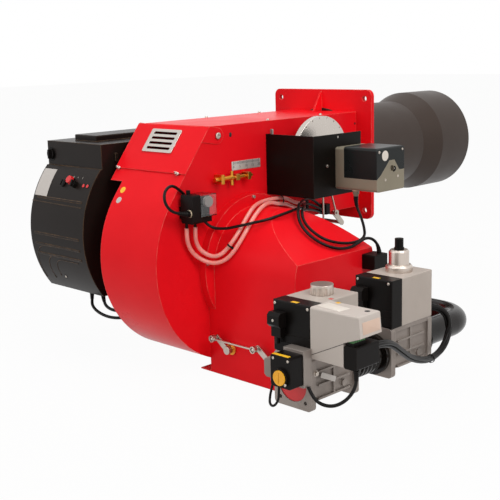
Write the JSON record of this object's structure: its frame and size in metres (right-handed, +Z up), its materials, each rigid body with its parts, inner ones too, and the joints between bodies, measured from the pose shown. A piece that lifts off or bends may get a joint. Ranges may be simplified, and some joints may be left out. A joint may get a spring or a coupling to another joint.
{
  "type": "industrial gas burner",
  "caption": "Forced-draught gas burner: red fan casing and air box, blast tube on a boiler flange, servo with cam and rods, control hood, and a two-valve gas train.",
  "frame": {"origin": "centre of the boiler flange's mating face, on the firing axis", "axes": "+Y is the firing direction into the boiler, +X points to the air box and gas train, +Z is up"},
  "size_m": [1.1607, 1.391, 0.663],
  "materials": {
    "red_paint": "gloss powder coat",
    "dark_tube_paint": "heat-proof satin paint",
    "black_sheet": "satin",
    "motor_paint": "satin",
    "black_moulding": "fine grain",
    "black_plastic": "semi-matt",
    "cast_aluminium": "as cast",
    "grey_cover": "painted satin",
    "bright_aluminium": "turned",
    "steel": "zinc plated",
    "galvanised_sheet": "satin",
    "polished_steel": "polished",
    "pipe_paint": "satin black",
    "brass": "machined",
    "servo_grey": "hammered satin",
    "servo_petrol": "gloss",
    "clear_plastic": "clear",
    "tester_grey": "satin",
    "yellow_plastic": "satin",
    "grey_plastic": "semi-matt",
    "red_plastic": "gloss",
    "hose_pink": "translucent silicone",
    "cable_black": "semi-matt"
  },
  "bodies": {
    "burner": {"air_box": "red_paint", "air_switch_base": "black_plastic", "air_switch_cover": "clear_plastic", "air_switch_lead": "cable_black", "blast_tube": "dark_tube_paint", "boiler_flange": "red_paint", "brass_bushings": "brass", "cam_box": "black_sheet", "casing": "red_paint", "coil_cover_1": "black_plastic", "coil_cover_2": "black_plastic", "connector_plugs": "black_plastic", "control_hood": "black_moulding", "fan_inlet_cone": "galvanised_sheet", "fasteners": "steel", "gas_manifold": "steel", "gas_pipework": "pipe_paint", "gas_switch_body": "black_plastic", "gas_switch_lead": "cable_black", "gas_throttle_housing": "cast_aluminium", "hood_cable_1": "cable_black", "hood_cable_2": "cable_black", "hose_a": "hose_pink", "hose_b": "hose_pink", "hydraulic_brake": "bright_aluminium", "inlet_cap": "red_plastic", "leak_tester": "tester_grey", "motor_body": "motor_paint", "servo_base": "servo_grey", "servo_cover": "servo_petrol", "servo_lead": "cable_black", "terminal_box": "black_plastic", "terminal_lead": "cable_black", "valve_body_1": "cast_aluminium", "valve_body_2": "cast_aluminium", "valve_coil_1": "grey_cover", "valve_coil_2": "grey_cover", "valve_leads": "cable_black", "wall_plug_lead": "cable_black"},
    "fan": {"fan_wheel": "galvanised_sheet", "motor_shaft": "steel"},
    "servo_drive": {"servo_shaft": "steel", "cam_disc": "polished_steel"},
    "throttle": {"gas_butterfly": "steel"},
    "gas_linkage": {"gas_rod": "steel"},
    "rear_damper": {"damper_1": "steel"},
    "front_damper": {"damper_2": "steel"},
    "damper_tie": {"damper_link": "steel"},
    "air_linkage": {"air_rod": "steel"},
    "head": {"firing_head": "steel", "head_rod": "brass"},
    "cover": {"inspection_cover": "red_paint", "vent_grille": "polished_steel"},
    "mains_switch": {"main_switch": "black_plastic"},
    "selector": {"selector_knob": "black_plastic"},
    "reset_button": {"red_button": "red_plastic"},
    "flow_knob_1": {"valve_1_knob": "bright_aluminium"},
    "flow_knob_2": {"valve_2_knob": "black_plastic"},
    "gas_setting": {"gas_dial": "yellow_plastic"},
    "air_setting": {"air_dial": "grey_plastic"}
  },
  "joints": [
    {"name": "fan_spin", "type": "hinge", "parent": "burner", "child": "fan", "pos_m": [0, -0.446, -0.227], "axis": [1, 0, 0], "continuous": true},
    {"name": "servo_turn", "type": "hinge", "parent": "burner", "child": "servo_drive", "pos_m": [0, -0.233, 0.004], "axis": [1, 0, 0], "range_deg": [0, 90]},
    {"name": "gas_throttle_turn", "type": "hinge", "parent": "burner", "child": "throttle", "pos_m": [0, -0.175, -0.16], "axis": [1, 0, 0], "range_deg": [0, 90]},
    {"name": "gas_rod_swing", "type": "hinge", "parent": "servo_drive", "child": "gas_linkage", "pos_m": [0.212, -0.26341, 0.03441], "axis": [1, 0, 0], "range_deg": [-90, 0]},
    {"name": "rear_damper_turn", "type": "hinge", "parent": "burner", "child": "rear_damper", "pos_m": [0.203, -0.446, -0.41], "axis": [0, 1, 0], "range_deg": [0, 90]},
    {"name": "front_damper_turn", "type": "hinge", "parent": "burner", "child": "front_damper", "pos_m": [0.341, -0.446, -0.41], "axis": [0, 1, 0], "range_deg": [0, 90]},
    {"name": "damper_tie_swing", "type": "hinge", "parent": "rear_damper", "child": "damper_tie", "pos_m": [0.168, -0.62, -0.384], "axis": [0, 1, 0], "range_deg": [-90, 0]},
    {"name": "air_rod_swing", "type": "hinge", "parent": "rear_damper", "child": "air_linkage", "pos_m": [0.23341, -0.276, -0.37959], "axis": [0, 1, 0], "range_deg": [-90, 0]},
    {"name": "head_slide", "type": "slide", "parent": "burner", "child": "head", "axis": [0, 1, 0], "range_m": [0, 0.025]},
    {"name": "cover_swing", "type": "hinge", "parent": "burner", "child": "cover", "pos_m": [0, -0.545, 0.095], "axis": [1, 0, 0], "range_deg": [-65, 0]},
    {"name": "main_switch_turn", "type": "hinge", "parent": "burner", "child": "mains_switch", "pos_m": [-0.38, -0.675, 0.036], "axis": [0, -1, 0], "range_deg": [0, 90]},
    {"name": "selector_turn", "type": "hinge", "parent": "burner", "child": "selector", "pos_m": [-0.231, -0.70958, -0.03166], "axis": [0, 0.8572, -0.515], "range_deg": [-45, 45]},
    {"name": "reset_press", "type": "slide", "parent": "burner", "child": "reset_button", "axis": [0, 0.8387, -0.5446], "range_m": [0, 0.003], "stiffness_N_per_m": 300},
    {"name": "flow_knob_1_turn", "type": "hinge", "parent": "burner", "child": "flow_knob_1", "pos_m": [0.591, -0.7077, -0.187], "axis": [0, 0, 1], "range_deg": [0, 340]},
    {"name": "flow_knob_2_turn", "type": "hinge", "parent": "burner", "child": "flow_knob_2", "pos_m": [0.591, -0.4487, -0.139], "axis": [0, 0, 1], "range_deg": [0, 340]},
    {"name": "gas_dial_turn", "type": "hinge", "parent": "burner", "child": "gas_setting", "pos_m": [0.615, -0.858, -0.318], "axis": [0, -1, 0], "range_deg": [0, 270]},
    {"name": "air_dial_turn", "type": "hinge", "parent": "burner", "child": "air_setting", "pos_m": [0.16, -0.622, -0.0495], "axis": [1, 0, 0], "range_deg": [0, 270]}
  ],
  "couplings": [
    {"joint": "gas_throttle_turn", "follows": "servo_turn", "ratio": 1},
    {"joint": "gas_rod_swing", "follows": "servo_turn", "ratio": -1},
    {"joint": "rear_damper_turn", "follows": "servo_turn", "ratio": 1},
    {"joint": "front_damper_turn", "follows": "servo_turn", "ratio": 1},
    {"joint": "damper_tie_swing", "follows": "servo_turn", "ratio": -1},
    {"joint": "air_rod_swing", "follows": "servo_turn", "ratio": -1}
  ]
}
